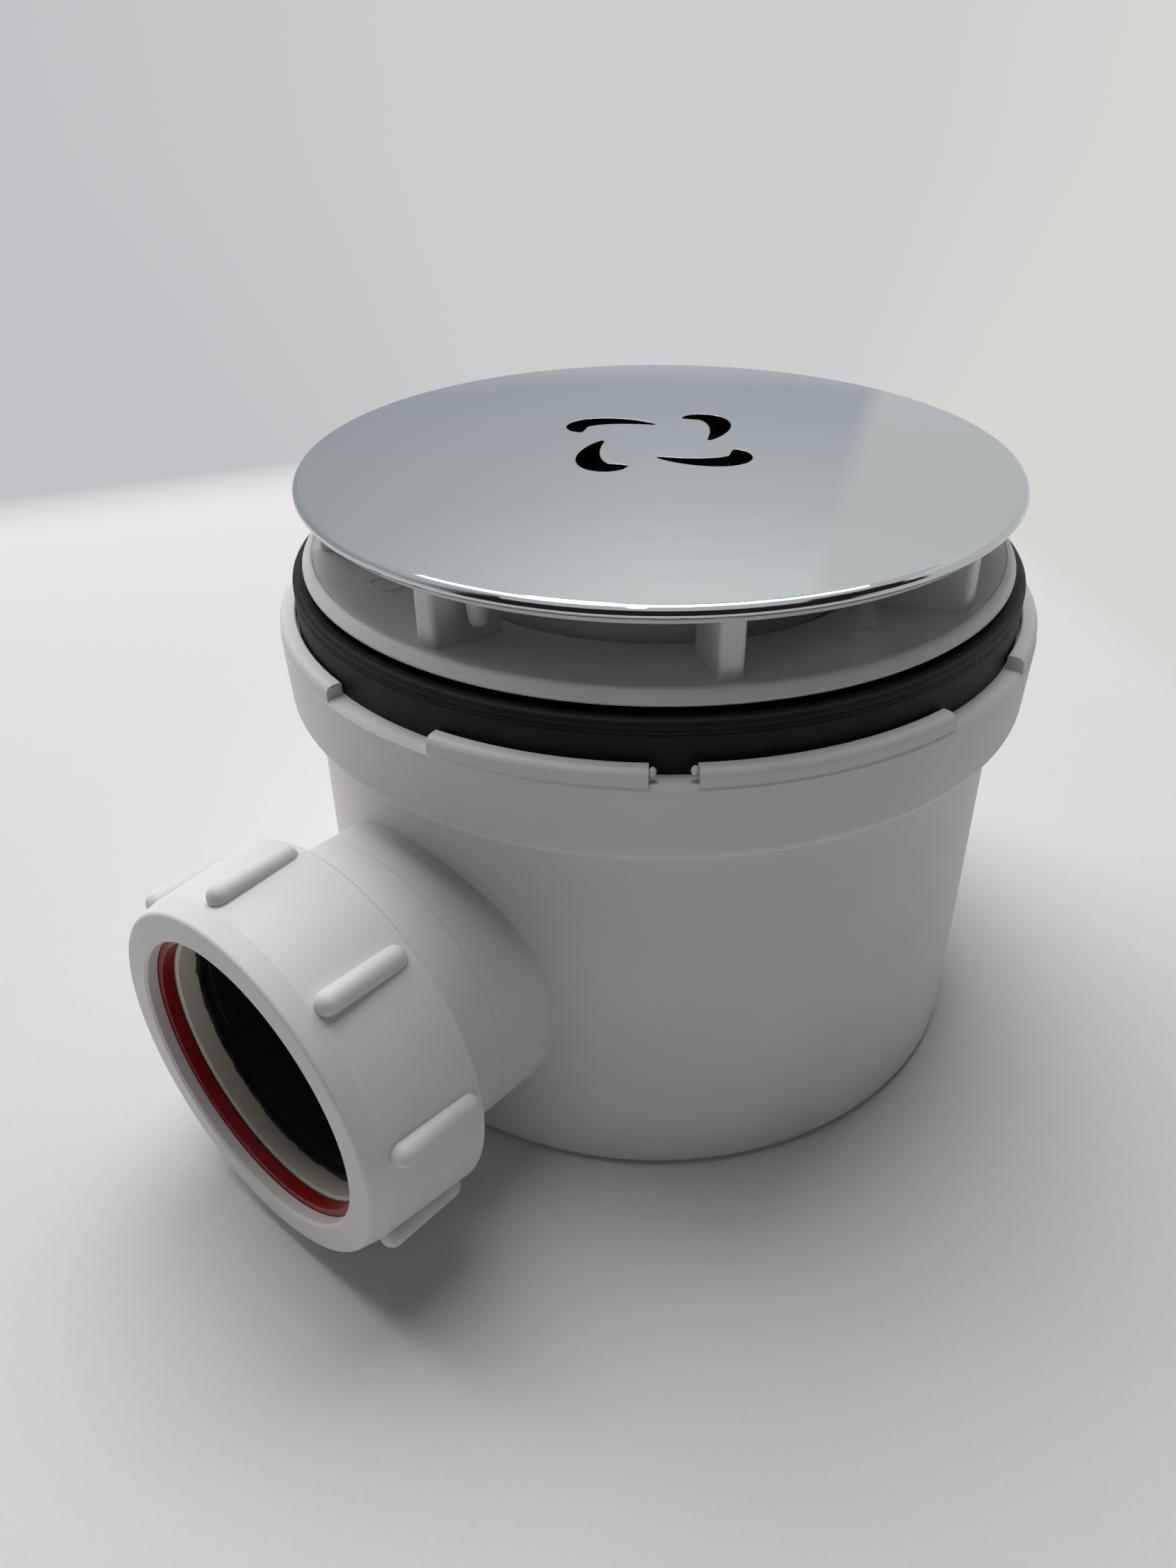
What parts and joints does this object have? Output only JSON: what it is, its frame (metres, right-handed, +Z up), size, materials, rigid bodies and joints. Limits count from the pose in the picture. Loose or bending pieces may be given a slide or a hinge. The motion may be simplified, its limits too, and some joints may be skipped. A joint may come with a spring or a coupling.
{
  "type": "shower waste",
  "caption": "Low shower waste trap: domed cover with slots over a vaned flange, thick tray gasket, inner dip tube with water seal, side compression outlet.",
  "frame": {"origin": "centre of the pot's underside, on the surface it stands on", "axes": "+Z up along the axis of the pot and cover, +X along the outlet, out of the nut"},
  "size_m": [0.1539, 0.1238, 0.1019],
  "materials": {
    "white_plastic": "moulded, fine matt texture",
    "satin_white_plastic": "moulded, satin",
    "black_rubber": "moulded, matt",
    "chrome_plate": "bright chrome plate",
    "cream_plastic": "moulded, natural",
    "red_plastic": "moulded"
  },
  "bodies": {
    "trap": {"trap_pot": "white_plastic", "outlet_spigot": "white_plastic", "weir_cup": "white_plastic", "top_ring": "white_plastic", "tray_gasket": "black_rubber", "flange_washer": "black_rubber", "outlet_seal": "black_rubber", "pressure_ring": "cream_plastic"},
    "insert": {"dip_tube": "satin_white_plastic", "dip_tube_o_ring": "black_rubber"},
    "flange": {"flange": "satin_white_plastic"},
    "cover": {"cover_carrier": "satin_white_plastic", "cover_cap": "chrome_plate"},
    "washer": {"slip_washer": "red_plastic"},
    "nut": {"outlet_nut": "white_plastic"}
  },
  "joints": [
    {"name": "flange_rise", "type": "slide", "parent": "trap", "child": "insert", "axis": [0, 0, 1], "range_m": [0, 0.0121]},
    {"name": "flange_screw", "type": "hinge", "parent": "insert", "child": "flange", "pos_m": [0, 0, 0.077], "axis": [0, 0, 1], "range_deg": [0, 1080]},
    {"name": "cover_lift", "type": "slide", "parent": "flange", "child": "cover", "axis": [0, 0, 1], "range_m": [0, 0.035]},
    {"name": "washer_slide", "type": "slide", "parent": "trap", "child": "washer", "axis": [1, 0, 0], "range_m": [0, 0.0091]},
    {"name": "nut_screw", "type": "hinge", "parent": "washer", "child": "nut", "pos_m": [0.08, 0, 0.0315], "axis": [1, 0, 0], "range_deg": [0, 1080]}
  ],
  "couplings": [
    {"joint": "flange_rise", "follows": "flange_screw", "m_per_rad": 0.00063662},
    {"joint": "washer_slide", "follows": "nut_screw", "m_per_rad": 0.00047746}
  ]
}
